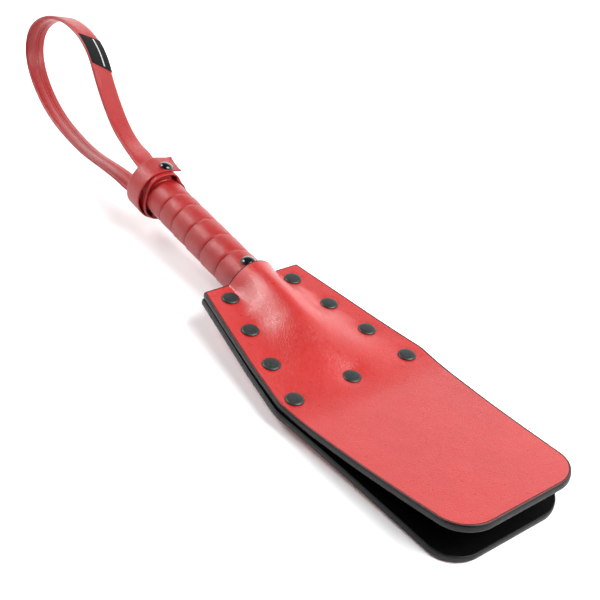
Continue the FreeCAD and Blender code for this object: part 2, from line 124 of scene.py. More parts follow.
# ------------------------------------------------------------------ mesh helpers
def mesh_piece(name, points, faces, materials, place=LEVEL, smooth_deg=None):
    """A smooth-shaded mesh object from level points in mm, with all its faces turned outwards."""
    mesh = bpy.data.meshes.new(name)
    mesh.from_pydata(placed(points, place).tolist(), [], faces)
    for material in materials:
        mesh.materials.append(material)
    mesh.validate()
    shape = bmesh.new()
    shape.from_mesh(mesh)
    bmesh.ops.recalc_face_normals(shape, faces=shape.faces)
    if shape.calc_volume(signed=True) < 0:
        bmesh.ops.reverse_faces(shape, faces=shape.faces)
    shape.to_mesh(mesh)
    shape.free()
    mesh.polygons.foreach_set("use_smooth", [True] * len(mesh.polygons))
    piece = bpy.data.objects.new(name, mesh)
    bpy.context.scene.collection.objects.link(piece)
    if smooth_deg is not None:
        mesh.set_sharp_from_angle(angle=math.radians(smooth_deg))
    return piece


def grid_faces(rows, columns, start=0, wrap_rows=False, wrap_columns=False):
    """Quads of a grid of points numbered row by row."""
    faces = []
    for i in range(rows if wrap_rows else rows - 1):
        for j in range(columns if wrap_columns else columns - 1):
            a = start + i * columns + j
            b = start + i * columns + (j + 1) % columns
            c = start + ((i + 1) % rows) * columns + (j + 1) % columns
            d = start + ((i + 1) % rows) * columns + j
            faces.append((a, d, c, b))
    return faces


def tube_piece(name, points, material, place, smooth_deg):
    """A piece from points[section][point of the section], with its two end sections closed."""
    loops, count = points.shape[:2]
    faces = grid_faces(loops, count, wrap_columns=True)
    faces += [tuple(range(count)), tuple(range((loops - 1) * count, loops * count))[::-1]]
    return mesh_piece(name, points.reshape(-1, 3), faces, [material], place, smooth_deg)


def lathe(profile, segments=48):
    """Points and faces of a closed form turned about Z.

    The profile is (radius, z) pairs, with a point on the axis first and last.
    """
    ring = profile[1:-1]
    points = [(0, 0, profile[0][1])]
    for radius, z in ring:
        for k in range(segments):
            angle = 2 * math.pi * k / segments
            points.append((radius * math.cos(angle), radius * math.sin(angle), z))
    points.append((0, 0, profile[-1][1]))
    faces = []
    last = len(points) - 1
    below = last - segments
    for k in range(segments):
        faces.append((0, 1 + (k + 1) % segments, 1 + k))
        faces.append((last, below + k, below + (k + 1) % segments))
    faces += grid_faces(len(ring), segments, 1, wrap_columns=True)
    return np.array(points), faces


def several(points, faces, places):
    """The same form repeated at several 4 x 4 places in mm, as one mesh's points and faces."""
    all_points, all_faces = [], []
    for place in places:
        base = sum(len(p) for p in all_points)
        turn = np.array(place.to_3x3())
        all_points.append(points @ turn.T + np.array(place.translation))
        all_faces += [tuple(i + base for i in face) for face in faces]
    return np.concatenate(all_points), all_faces


def soft_steps(x, stations, values):
    """A smoothed table: the mean of straight-line readings a little way to each side."""
    return sum(np.interp(x + shift, stations, values) for shift in (-6, -4, -2, 0, 2, 4, 6)) / 7


def smooth_max(a, b, reach):
    """The larger of the two, rounded off where they differ by less than the reach."""
    blend = np.clip(reach - np.abs(a - b), 0, None) / np.maximum(reach, 1e-6)
    return np.maximum(a, b) + blend * blend * reach / 4


def eased(x, start, end):
    """A smooth step from 0 at start to 1 at end."""
    share = np.clip((x - start) / (end - start), 0, 1)
    return share * share * (3 - 2 * share)


# ------------------------------------------------------------------ material helpers
def srgb(red, green, blue):
    """A colour given as it looks on screen, 0 to 255, in the renderer's linear values."""
    def linear(value):
        value /= 255
        return value / 12.92 if value <= 0.04045 else ((value + 0.055) / 1.055) ** 2.4
    return (linear(red), linear(green), linear(blue), 1.0)


class Nodes:
    """A short way to write a material's node tree."""

    def __init__(self, name):
        self.material = bpy.data.materials.new(name)
        self.material.use_nodes = True
        self.tree = self.material.node_tree
        self.shader = self.tree.nodes["Principled BSDF"]
        self.place = self.add("ShaderNodeTexCoord").outputs["Object"]

    def add(self, kind, **settings):
        node = self.tree.nodes.new(kind)
        for key, value in settings.items():
            setattr(node, key, value)
        return node

    def join(self, source, target):
        self.tree.links.new(source, target)

    def noise(self, scale, detail=4.0, roughness=0.55, source=None):
        node = self.add("ShaderNodeTexNoise")
        node.inputs["Scale"].default_value = scale
        node.inputs["Detail"].default_value = detail
        node.inputs["Roughness"].default_value = roughness
        self.join(source or self.place, node.inputs["Vector"])
        return node.outputs["Fac"]

    def cells(self, scale):
        node = self.add("ShaderNodeTexVoronoi", feature="DISTANCE_TO_EDGE")
        node.inputs["Scale"].default_value = scale
        self.join(self.place, node.inputs["Vector"])
        return node.outputs["Distance"]

    def span(self, source, low, high, from_low=0.3, from_high=0.7):
        """Brings from_low to low and from_high to high: a noise stays mostly between 0.3 and 0.7."""
        node = self.add("ShaderNodeMapRange")
        settings = {"From Min": from_low, "From Max": from_high, "To Min": low, "To Max": high}
        for key, value in settings.items():
            node.inputs[key].default_value = value
        self.join(source, node.inputs["Value"])
        return node.outputs["Result"]

    def maths(self, operation, a, b):
        node = self.add("ShaderNodeMath", operation=operation)
        for slot, value in zip(node.inputs, (a, b)):
            if isinstance(value, (int, float)):
                slot.default_value = value
            else:
                self.join(value, slot)
        return node.outputs["Value"]

    def mix(self, factor, a, b):
        node = self.add("ShaderNodeMix", data_type="RGBA")
        self.join(factor, node.inputs["Factor"])
        for slot, value in ((node.inputs["A"], a), (node.inputs["B"], b)):
            if isinstance(value, tuple):
                slot.default_value = value
            else:
                self.join(value, slot)
        return node.outputs["Result"]

    def bump(self, height, distance, strength=1.0, under=None):
        node = self.add("ShaderNodeBump")
        node.inputs["Distance"].default_value = distance
        node.inputs["Strength"].default_value = strength
        self.join(height, node.inputs["Height"])
        if under is not None:
            self.join(under, node.inputs["Normal"])
        return node.outputs["Normal"]

    def finish(self, **sockets):
        for key, value in sockets.items():
            slot = self.shader.inputs[key.replace("_", " ")]
            if isinstance(value, (int, float, tuple)):
                slot.default_value = value
            else:
                self.join(value, slot)
        return self.material


def leather(name, deep, bright, rough, gloss, grain=900.0, depth=0.00009, wrinkle=0.35, coat=0.08,
            speck=0.16):
    """Satin finished leather: a fine cell grain, faint mottling and slightly uneven gloss."""
    n = Nodes(name)
    mottle = n.noise(28.0, 5.0)
    fine = n.noise(420.0, 3.0)
    dark = tuple(0.55 * c for c in deep[:3]) + (1.0,)
    colour = n.mix(n.span(mottle, 0.0, 1.0, 0.3, 0.72), deep, bright)
    colour = n.mix(n.span(fine, 0.0, speck, 0.35, 0.75), colour, dark)
    creases = n.span(n.cells(grain), 0.0, 1.0, 0.0, 0.16)
    pores = n.noise(grain * 2.3, 2.0)
    undulation = n.noise(75.0, 3.0)
    height = n.maths("ADD", creases, n.maths("MULTIPLY", pores, 0.5))
    normal = n.bump(undulation, 0.0006, wrinkle)
    normal = n.bump(height, depth, 0.55, normal)
    return n.finish(Base_Color=colour, Roughness=n.span(fine, rough - 0.04, rough + 0.07),
                    Normal=normal, Specular_IOR_Level=gloss, Coat_Weight=coat, Coat_Roughness=0.3)


def paint_edge(name):
    """Burnished black edge paint: thick, satin and a little uneven."""
    n = Nodes(name)
    uneven = n.noise(160.0, 4.0)
    streak = n.noise(900.0, 2.0)
    colour = n.mix(n.span(uneven, 0.0, 1.0), srgb(7, 7, 8), srgb(15, 16, 17))
    normal = n.bump(uneven, 0.0005, 0.4)
    normal = n.bump(streak, 0.00008, 0.4, normal)
    return n.finish(Base_Color=colour, Roughness=n.span(uneven, 0.34, 0.5), Normal=normal,
                    Specular_IOR_Level=0.26)


def black_metal(name, rough, colour, coat):
    """Blackened metal: satin on the flat caps, glossy on the domes."""
    n = Nodes(name)
    wear = n.noise(600.0, 5.0)
    scratch = n.noise(2500.0, 2.0)
    worn = tuple(1.5 * c for c in colour[:3]) + (1.0,)
    shade = n.mix(n.span(wear, 0.0, 1.0), colour, worn)
    return n.finish(Base_Color=shade, Metallic=0.35, Roughness=n.span(wear, rough * 0.85, rough * 1.2),
                    Normal=n.bump(scratch, 0.00003, 0.25), Coat_Weight=coat, Coat_Roughness=0.06)


def woven(name):
    """The label's black cloth, a fine twill."""
    n = Nodes(name)
    wave = n.add("ShaderNodeTexWave", wave_type="BANDS", bands_direction="DIAGONAL")
    wave.inputs["Scale"].default_value = 900.0
    n.join(n.place, wave.inputs["Vector"])
    threads = n.noise(1500.0, 2.0)
    height = n.maths("ADD", wave.outputs["Fac"], threads)
    colour = n.mix(n.span(threads, 0.0, 1.0), srgb(6, 6, 7), srgb(20, 21, 22))
    return n.finish(Base_Color=colour, Roughness=0.9, Sheen_Weight=0.04, Specular_IOR_Level=0.2,
                    Normal=n.bump(height, 0.00012, 0.7))


def thread(name):
    """The label's pale stripe."""
    n = Nodes(name)
    fine = n.noise(1800.0, 2.0)
    colour = n.mix(n.span(fine, 0.0, 1.0), srgb(150, 152, 155), srgb(205, 206, 208))
    return n.finish(Base_Color=colour, Roughness=0.8, Normal=n.bump(fine, 0.0001, 0.6))


def wood(name):
    """Pale turned wood, its grain along the rod."""
    n = Nodes(name)
    stretch = n.add("ShaderNodeMapping")
    stretch.inputs["Scale"].default_value = (6.0, 60.0, 60.0)
    n.join(n.place, stretch.inputs["Vector"])
    grain = n.noise(6.0, 6.0, 0.6, stretch.outputs["Vector"])
    colour = n.mix(n.span(grain, 0.0, 1.0), srgb(150, 108, 70), srgb(205, 165, 115))
    return n.finish(Base_Color=colour, Roughness=0.6, Normal=n.bump(grain, 0.0003, 0.5))


def bare_steel(name):
    n = Nodes(name)
    wear = n.noise(900.0, 4.0)
    return n.finish(Base_Color=srgb(150, 150, 152), Metallic=1.0, Roughness=n.span(wear, 0.3, 0.45))


red = leather("red_leather", srgb(160, 29, 27), srgb(170, 36, 33), rough=0.31, gloss=0.7, speck=0.05)
red_deep = leather("red_leather_deep", srgb(140, 13, 14), srgb(154, 19, 19), rough=0.34, gloss=0.43,
                   depth=0.00014, wrinkle=0.9)
black_hide = leather("black_leather", srgb(3, 3, 3), srgb(6, 6, 7), rough=0.6, gloss=0.03, grain=700.0,
                     coat=0.0)
edge_black = paint_edge("edge_paint")
cap_black = black_metal("black_satin_metal", 0.42, srgb(36, 40, 39), 0.0)
dome_black = black_metal("black_gloss_metal", 0.2, srgb(14, 15, 17), 0.6)
label_black = woven("woven_label")
pale_thread = thread("pale_thread")
rod_wood = wood("turned_wood")
steel = bare_steel("steel")


# ------------------------------------------------------------------ leaves
# Places along the flat leather that its map is worked out at, and how many points a row across it has.
FINE = np.linspace(0, 240, 2401)
ACROSS = 91


def rivet_spots():
    """(s, y) of the nine neck rivets."""
    spots = []
    for row in range(4):
        half = RIVET_HALF + row * RIVET_HALF_STEP
        s = RIVET_X + row * RIVET_STEP
        spots += [(s, -half), (s, half)]
    return spots + [(RIVET_X + 3 * RIVET_STEP, 0.0)]


class Leaf:
    """One leaf as a map from flat leather to level space.

    A place in the leather is s along it, y across it and an offset from its inner face.
    """

    def __init__(self, side):
        """The upper leaf's side is 1, and the lower leaf's is -1."""
        self.side = side
        stations, degrees = LEAF_BENDS[side]
        heading = np.radians(np.interp(FINE, stations, degrees))
        step = FINE[1] - FINE[0]
        middle = (heading[1:] + heading[:-1]) / 2
        self.x = np.concatenate([[0], np.cumsum(np.cos(middle)) * step])
        self.z = np.concatenate([[0], np.cumsum(np.sin(middle)) * step])
        self.heading = heading
        self.tip = float(np.interp(TIP_X - (LOWER_SHORTER if side < 0 else 0), self.x, FINE))
        self.outline = self.half_outline()

    def half_outline(self):
        """Points and outward normals of the right half's outline, from the shoulder round to the tip.

        Its corners are rounded off, and no two points stand more than about 2 mm apart.
        """
        corners = np.array([(SHOULDER_BACK, 0), (SHOULDER_BACK, SHOULDER_HALF), (KNEE_X, KNEE_HALF),
                            (self.tip, TIP_HALF), (self.tip, 0)])
        rounds = (SHOULDER_ROUND, KNEE_ROUND, TIP_ROUND)
        points, normals = [], []
        for k, radius in enumerate(rounds, 1):
            before = corners[k] - corners[k - 1]
            after = corners[k + 1] - corners[k]
            before /= np.linalg.norm(before)
            after /= np.linalg.norm(after)
            turn = math.acos(np.clip(before @ after, -1, 1))
            setback = radius * math.tan(turn / 2)
            out_before = np.array([-before[1], before[0]])
            centre = corners[k] - before * setback - out_before * radius
            first = math.atan2(out_before[1], out_before[0])
            count = max(3, int(radius * turn / 1.2) + 2)
            for angle in np.linspace(first, first - turn, count):
                normal = np.array([math.cos(angle), math.sin(angle)])
                points.append(centre + radius * normal)
                normals.append(normal)
        points, normals = np.array(points), np.array(normals)
        lengths = np.concatenate([[0], np.cumsum(np.linalg.norm(np.diff(points, axis=0), axis=1))])
        stops = [lengths[0]]
        for length, gap in zip(lengths[1:], np.diff(lengths)):
            extra = int(gap // 2.0)
            stops += list(length - gap + gap * np.arange(1, extra + 1) / (extra + 1)) + [length]
        stops = np.array(stops)
        points = np.stack([np.interp(stops, lengths, points[:, i]) for i in (0, 1)], 1)
        normals = np.stack([np.interp(stops, lengths, normals[:, i]) for i in (0, 1)], 1)
        return points, normals / np.linalg.norm(normals, axis=1)[:, None]

    def rise(self, s, y, offset):
        """Height of the layer at this offset over the plane between the leaves."""
        crest = soft_steps(s, CREST_X, CREST_RISE)
        skirt = soft_steps(s, SKIRT_X, SKIRT_HALF)
        beyond = np.clip(np.abs(y) - crest - offset, 0, None)
        arch = np.sqrt(np.clip((crest + offset) ** 2 - y ** 2, 0, None)) - ARCH_SLOPE * beyond
        foot = np.interp(s, FOOT_X, FOOT_REACH) + 0 * y
        arch = smooth_max(arch, offset + 0 * y, foot) - offset
        fall = np.interp(s, FALL_X, FALL)
        soft = np.interp(s, CREST_ROUND_X, CREST_ROUND)
        full = np.hypot(skirt, soft)
        tent = np.clip((full - np.hypot(y, soft)) / (full - soft), 0, 1)
        bell = crest * tent ** fall
        share = eased(s, ARCH_UNTIL, TENT_FROM)
        return offset + (arch * (1 - share) + bell * share) * self.freedom(s, y)

    def freedom(self, s, y):
        """How freely the leather stands up: not at all where a rivet holds it down."""
        free = 1.0
        for cap_s, cap_y in rivet_spots():
            free = free * (1 - np.exp(-((s - cap_s) ** 2 + (y - cap_y) ** 2) / HELD_REACH ** 2))
        return free

    def dents(self, s, y, offset):
        """The shallow hollow that each rivet cap presses into the outer face."""
        depth = np.zeros_like(s)
        for cap_s, cap_y in rivet_spots():
            away = np.hypot(s - cap_s, y - cap_y)
            depth = np.maximum(depth, DENT_DEPTH * np.exp(-(away / DENT_REACH) ** 4))
        return depth * np.clip(offset / LEAF, 0, 1)

    def at(self, s, y, offset):
        """The level points of places in the leather."""
        s, y = np.broadcast_arrays(np.asarray(s, float), np.asarray(y, float))
        h = (self.rise(s, y, offset) - self.dents(s, y, offset)) * self.side
        beyond = np.minimum(s, 0)
        x = np.interp(s, FINE, self.x) + beyond
        z = np.interp(s, FINE, self.z)
        heading = np.interp(s, FINE, self.heading)
        half = np.interp(s, (SHOULDER_BACK, KNEE_X, self.tip), (SHOULDER_HALF, KNEE_HALF, TIP_HALF))
        edge_share = np.clip(np.abs(y) / half, 0, 1) ** ASIDE_POWER
        left = soft_steps(s, ASIDE_X, LEFT_ASIDE[self.side])
        right = soft_steps(s, ASIDE_X, RIGHT_ASIDE)
        y = y + np.where(y < 0, left, right) * edge_share
        return np.stack([x - h * np.sin(heading), y, z + h * np.cos(heading)], -1)

    def row_ends(self, inset):
        """The outline moved in by inset, where each row across the leaf ends, and its outward normals."""
        points, normals = self.outline
        return points - normals * inset, normals

    def across(self, s, half, offset, count):
        """Places across the leaf, evenly spaced along the bulging surface."""
        y = np.linspace(-half, half, 801)
        z = self.rise(s, y, offset)
        run = np.concatenate([[0], np.cumsum(np.hypot(np.diff(y), np.diff(z)))])
        return np.interp(np.linspace(0, run[-1], count), run, y)


def leaf_sheet(leaf, name, low, high, material):
    """A closed sheet of the leaf between two offsets."""
    ends, _ = leaf.row_ends(PLY_INSET)
    points = []
    for offset in (high, low):
        for s, half in ends:
            y = leaf.across(s, half, offset, ACROSS)
            points.append(leaf.at(s, y, offset))
    points = np.concatenate(points)
    rows = len(ends)
    under = rows * ACROSS
    faces = grid_faces(rows, ACROSS) + grid_faces(rows, ACROSS, under)
    rim = rim_indices(rows)
    for a, b in zip(rim, rim[1:] + rim[:1]):
        faces.append((a, b, b + under, a + under))
    return mesh_piece(name, points, faces, [material], smooth_deg=50)


def rim_indices(rows):
    """The grid's outer points in order: left side, tip, right side, shoulder."""
    left = [i * ACROSS for i in range(rows)]
    tip = [(rows - 1) * ACROSS + j for j in range(1, ACROSS)]
    right = [i * ACROSS + ACROSS - 1 for i in range(rows - 2, -1, -1)]
    shoulder = list(range(ACROSS - 2, 0, -1))
    return left + tip + right + shoulder


def edge_profile():
    """(outward, offset) of the painted edge's section, once round."""
    section = [(-EDGE_INSET, LEAF + EDGE_PROUD * 0.4), (-EDGE_INSET * 0.75, LEAF + EDGE_PROUD)]
    quarter = np.radians(np.linspace(90, 0, 5))
    corner = [(EDGE_ROUND * (math.cos(angle) - 1) + EDGE_OUT, EDGE_ROUND * (math.sin(angle) - 1))
              for angle in quarter]
    section += [(out, LEAF + above) for out, above in corner]
    section.append((EDGE_MIDDLE_OUT, LEAF / 2))
    section += [(out, -above) for out, above in corner[::-1]]
    section += [(-EDGE_INSET, 0.0), (-EDGE_INSET * 1.3, LEAF * 0.3), (-EDGE_INSET * 1.3, LEAF * 0.7)]
    return section


def leaf_edge(leaf, name):
    """The painted edge that runs all round the leaf over both of its plies."""
    ends, normals = leaf.row_ends(0.0)

    def straight_edge(end, picked, outward):
        """Places of the sheet's last or first row, and which way is out of the leaf there."""
        return [(ends[end][0], y, outward, 0) for y in leaf.across(*ends[end], LEAF, ACROSS)[picked]]

    right = np.hstack([ends, normals])
    left = right * (1, -1, 1, -1)
    tip = straight_edge(-1, slice(1, None), 1)
    shoulder = straight_edge(0, slice(ACROSS - 2, 0, -1), -1)
    s, y, out_s, out_y = np.concatenate([left, tip, right[-2::-1], shoulder]).T
    rings = [leaf.at(s + out_s * d, y + out_y * d, offset) for d, offset in edge_profile()]
    points = np.stack(rings, 1)
    loops, count = points.shape[:2]
    faces = grid_faces(loops, count, wrap_rows=True, wrap_columns=True)
    return mesh_piece(name, points.reshape(-1, 3), faces, [edge_black], smooth_deg=60)


def make_leaf(side, word):
    """A leaf's black ply, red ply and painted edge, all following the same bent shape."""
    leaf = Leaf(side)
    bend = [placed(leaf.at(s, 0.0, LEAF / 2))[0] for s in (FLEX_START, FLEX_END)]
    core_piece = leaf_sheet(leaf, word + "_leaf_core", 0.0, LEAF_CORE, black_hide)
    face_piece = leaf_sheet(leaf, word + "_leaf_face", LEAF_CORE, LEAF, red)
    edge_piece = leaf_edge(leaf, word + "_leaf_edge")
    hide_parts(word + "_neck_core", word + "_blade_core")
    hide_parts(word + "_neck_face", word + "_blade_face")
    for piece in (core_piece, face_piece, edge_piece):
        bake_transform(piece)
    return leaf


upper = make_leaf(1, "upper")
lower = make_leaf(-1, "lower")


# ------------------------------------------------------------------ rivets and nails
CAP_PROFILE = [(0, CAP_RISE), (2.2, CAP_RISE - 0.02), (3.9, CAP_RISE - 0.12), (4.45, CAP_RISE - 0.28),
               (4.8, CAP_RISE - 0.55), (CAP_R, 0.35), (CAP_R, 0.05), (4.8, -0.25), (0, -0.25)]


def dome_profile():
    """A domed nail head, from its top to the foot sunk in the leather."""
    points = [(NAIL_R * math.cos(a), NAIL_RISE * math.sin(a)) for a in np.radians(np.linspace(90, 8, 12))]
    return [(0, NAIL_RISE)] + points[1:] + [(NAIL_R + 0.12, 0.15), (NAIL_R + 0.1, -0.1), (0, -0.1)]


def cap_places(leaf):
    """Where the leaf's nine rivet caps sit, each square to the leather."""
    places = []
    for s, y in rivet_spots():
        seat = leaf.at(s, y, LEAF)
        turn = Matrix.Rotation(-np.interp(s, FINE, leaf.heading), 4, "Y")
        if leaf.side < 0:
            turn = turn @ Matrix.Rotation(math.pi, 4, "X")
        places.append(Matrix.Translation(seat + (0, 0, CAP_LIFT * leaf.side)) @ turn)
    return places


for leaf, word in ((upper, "top"), (lower, "bottom")):
    points, faces = several(*lathe(CAP_PROFILE), cap_places(leaf))
    caps = mesh_piece("rivet_caps_" + word, points, faces, [cap_black], smooth_deg=40)
    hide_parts("neck_rivet_caps_" + word)
    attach(caps, "paddle")


def nail_piece(name, node, x, seat, place):
    """A domed nail on top of the handle, at a height of seat over its axis."""
    points, faces = lathe(dome_profile())
    piece = mesh_piece(name, points + (x, 0, seat), faces, [dome_black], place, smooth_deg=50)
    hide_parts(node)
    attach(piece, "paddle")


nail_piece("wrap_nail", "wrap_nail_dome", WRAP_NAIL_X, WRAP_NAIL_SEAT, LEVEL)
nail_piece("collar_snap", "collar_snap_dome", SNAP_X, COLLAR_BORE + 2 * COLLAR_LAYER + 0.05, LEAN)


# ------------------------------------------------------------------ the spiral wrap
# Where the strip's back edge crosses one line along the rod at each turn, that line's angle, and how far
# the edge strays in between, most at the sway's own angle.
RIDGE_X = (21.0, 4.0, -17.5, -34.5, -51.5, -68.5, -80.5, -98.0, -113.0, -128.0)
RIDGE_ANGLE, SWAY_ANGLE = math.radians(42), math.radians(221)
RIDGE_SWAY = 1.9
WRAP_START, WRAP_END, WRAP_SEGMENTS = 12.0, COLLAR_BACK + 0.8, 72
LEAST_TURN, FIRST_TURN = 10.0, 17.0
# The strip's section as (x, radius): x from its back edge, which shows, then from the back edge of the turn
# before, which its front goes under. Then the radii of its outside and underside half way.
SHOWN_EDGE = ((0.42, 10.9), (0.08, 11.4), (0.06, 11.9), (0.2, 12.3), (0.55, 12.6), (1.3, 12.74))
HIDDEN_EDGE = ((-6.0, 12.58), (-3.2, 12.5), (-1.5, 12.36), (-0.75, 12.12), (-0.3, 11.75), (-0.05, 11.3),
               (0.9, 10.9), (0.9, 10.6))
OUTSIDE_R, UNDERSIDE_R = 12.62, 10.4


def ridge_x(turns):
    """Where the strip's back edge lies after this many turns."""
    angle = 2 * math.pi * turns + RIDGE_ANGLE
    sway = RIDGE_SWAY * (np.cos(angle - SWAY_ANGLE) + 1)
    return np.interp(turns, np.arange(len(RIDGE_X)), RIDGE_X) + sway


def make_wrap():
    """One leather strip wound round the rod, each turn's back edge lying over the turn after it."""
    last = len(RIDGE_X) - 1
    turns = np.linspace(0.0, last, WRAP_SEGMENTS * last + 1)
    rings = []
    for t in turns[ridge_x(turns) < WRAP_START - 1.0]:
        x0 = ridge_x(t)
        width = max(LEAST_TURN, ridge_x(t - 1.0) - x0) if t >= 1 else FIRST_TURN
        angle = 2 * math.pi * t + RIDGE_ANGLE
        ring = [(x0 + a, r) for a, r in SHOWN_EDGE] + [(x0 + 0.5 * width, OUTSIDE_R)]
        ring += [(x0 + width + a, r) for a, r in HIDDEN_EDGE]
        ring += [(x0 + 0.5 * width, UNDERSIDE_R), (x0 + 0.42, 10.6)]
        x, r = np.transpose(ring)
        x = np.clip(x, WRAP_END, WRAP_START)
        rings.append(np.stack([x, r * math.cos(angle), r * math.sin(angle)], 1))
    piece = tube_piece("grip_wrap_strip", np.array(rings), red_deep, LEVEL, 45)
    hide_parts("grip_wrap")
    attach(piece, "paddle")


make_wrap()


# ------------------------------------------------------------------ collar
TAB_START, TAB_END, TAB_RINGS = 0.6, 12.6, 13
TAB_LIFT, TAB_LIFT_FROM = 0.03, 6.0
# Where the tab's end is cut, at stations across it from the back edge to the front.
TAB_CUT_X, TAB_CUT = (COLLAR_BACK, -110.0, -106.0, COLLAR_FRONT), (11.2, 8.2, 6.9, 8.8)
# The inner turn stands away over the strap, about one angle, and comes down to the near radius beside it,
# over these angles from there. On the right, up to a last angle, it is thick enough to fill the gap.
OVER_STRAP = math.radians(98)
BESIDE_RIGHT, BESIDE_LEFT = np.radians((17, 44)), np.radians((25, 87))
NEAR_RADIUS, FILLED_UNTIL = 13.45, math.radians(70)
# How much tighter the outer turn lies on the right, and how far the collar's edges stray: its back edge
# forward on the left, and its inner turn's front edge forward on the right.
RIGHT_TIGHTER, BACK_STRAY, FRONT_STRAY = 1.3, 2.6, 4.5


def band_section(half, thick, rounding=0.28):
    """(along, through) points of a leather band's section, once round, with eased edges."""
    section = []
    for sa, sb in ((1, 1), (1, -1), (-1, -1), (-1, 1)):
        a, b = sa * half, sb * thick / 2
        first = (a, b - sb * rounding) if sa * sb < 0 else (a - sa * rounding, b)
        second = (a - sa * rounding, b) if sa * sb < 0 else (a, b - sb * rounding)
        middle = (a - sa * rounding * 0.3, b - sb * rounding * 0.3)
        section += [first, middle, second]
        if sa * sb < 0:
            section += [(a * share, b) for share in (0.75, 0.5, 0.25, 0.0, -0.25, -0.5, -0.75)]
    return section


def tab_lift(y):
    """How far the tab stands up off the turn below it, towards its free end."""
    return TAB_LIFT * np.clip(y - TAB_LIFT_FROM, 0, None) ** 2


def tab_cut(x, y, z):
    """The tab's end is cut aslant and a little hollow, with a small lip at its front corner."""
    limit = np.interp(x, TAB_CUT_X, TAB_CUT)
    shorter = TAB_START + (y - TAB_START) * (limit - TAB_START) / (TAB_END - TAB_START)
    return shorter, z - tab_lift(y) + tab_lift(shorter)


def round_handle(angle, radius):
    """(y, z) at an angle from the right-hand side up."""
    return radius * math.cos(angle), radius * math.sin(angle)


def collar_band(name, path, spans, inward, node, cut=False):
    """A band that follows a (y, z) path about the handle.

    Each point of the path has a (back x, front x) in spans and, in inward, how much thicker the band is
    on its inner side. cut shapes the end of the tab that the path then starts with.
    """
    path = np.asarray(path, float)
    ahead_2d = np.gradient(path, axis=0)
    ahead_2d /= np.linalg.norm(ahead_2d, axis=1)[:, None]
    out = np.stack([ahead_2d[:, 1], -ahead_2d[:, 0]], 1)
    rings = []
    for point, normal, (x0, x1), more in zip(path, out, spans, inward):
        section = [(a, b if b > 0 else b - more) for a, b in band_section((x1 - x0) / 2, COLLAR_LAYER)]
        rings.append([((x0 + x1) / 2 + a, *(point + normal * b)) for a, b in section])
    points = np.array(rings)
    if cut:
        tab = points[:TAB_RINGS]
        tab[..., 1], tab[..., 2] = tab_cut(tab[..., 0], tab[..., 1], tab[..., 2])
    piece = tube_piece(name, points, red_deep, LEAN, 50)
    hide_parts(node)
    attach(piece, "paddle")


def inner_radius(angle):
    """The inner turn's radius: it stands away over the strap, on top and below, and lies near beside it."""
    away = COLLAR_BORE + 0.5 * COLLAR_LAYER
    off = abs((angle - OVER_STRAP + math.pi / 2) % math.pi - math.pi / 2)
    start, end = BESIDE_RIGHT if math.cos(angle) > 0 else BESIDE_LEFT
    return away + (NEAR_RADIUS - away) * eased(off, start, end)


def make_collar():
    """The collar's two turns: the outer one ends on top in a tab, and the inner one lies on the strap."""
    outer_r = COLLAR_BORE + 1.5 * COLLAR_LAYER
    path = [(y, outer_r + tab_lift(y)) for y in np.linspace(TAB_END, TAB_START, TAB_RINGS)]
    for angle in np.radians(np.linspace(90, 378, 97)):
        tighter = RIGHT_TIGHTER * max(0.0, math.cos(angle)) ** 2
        path.append(round_handle(angle, outer_r - tighter))
    spans = [(COLLAR_BACK + BACK_STRAY * np.clip(-y / 14.0 - 0.15, 0, 1), COLLAR_FRONT) for y, z in path]
    collar_band("collar_outer_band", path, spans, [0.0] * len(path), "collar_outer_turn", cut=True)
    ring, inward = [], []
    for angle in np.radians(np.linspace(60, 425, 121)):
        radius = inner_radius(angle)
        ring.append(round_handle(angle, radius))
        fills = 0 < angle % (2 * math.pi) < FILLED_UNTIL
        inward.append(radius - NEAR_RADIUS if fills else 0.0)
    spans = [(COLLAR_BACK + 0.3, COLLAR_INNER_FRONT + FRONT_STRAY * np.clip(y / 13.0 - 0.1, 0, 1))
             for y, z in ring]
    collar_band("collar_inner_band", ring, spans, inward, "collar_inner_turn")


make_collar()


# ------------------------------------------------------------------ wrist strap
# The strap's middle line in the loop's own plane, as the frame's solids follow it, ends under the collar.
STRAP_ROUTE = ((-100.0, 14.05), (-113.0, 14.05), (-127.0, 13.6), (-150.0, 12.0), (-182.0, 27.0),
               (-215.0, 51.0), (-258.0, 51.0), (-290.0, 30.0), (-284.0, 4.0), (-244.0, -15.0),
               (-194.0, -18.0), (-152.0, -13.0), (-127.0, -14.0), (-113.0, -14.05), (-100.0, -14.05))
LOOP_ASIDE = -2.4
# Where the strap, on its way to the collar, starts and ends curving round the handle, and where it starts
# and ends coming level, for its top end and its lower end.
HUG_TOP, HUG_BELOW = (-130.0, -115.0), (-140.0, -119.0)
LEVEL_TOP, LEVEL_BELOW = (-150.0, -118.0), (-195.0, -122.0)


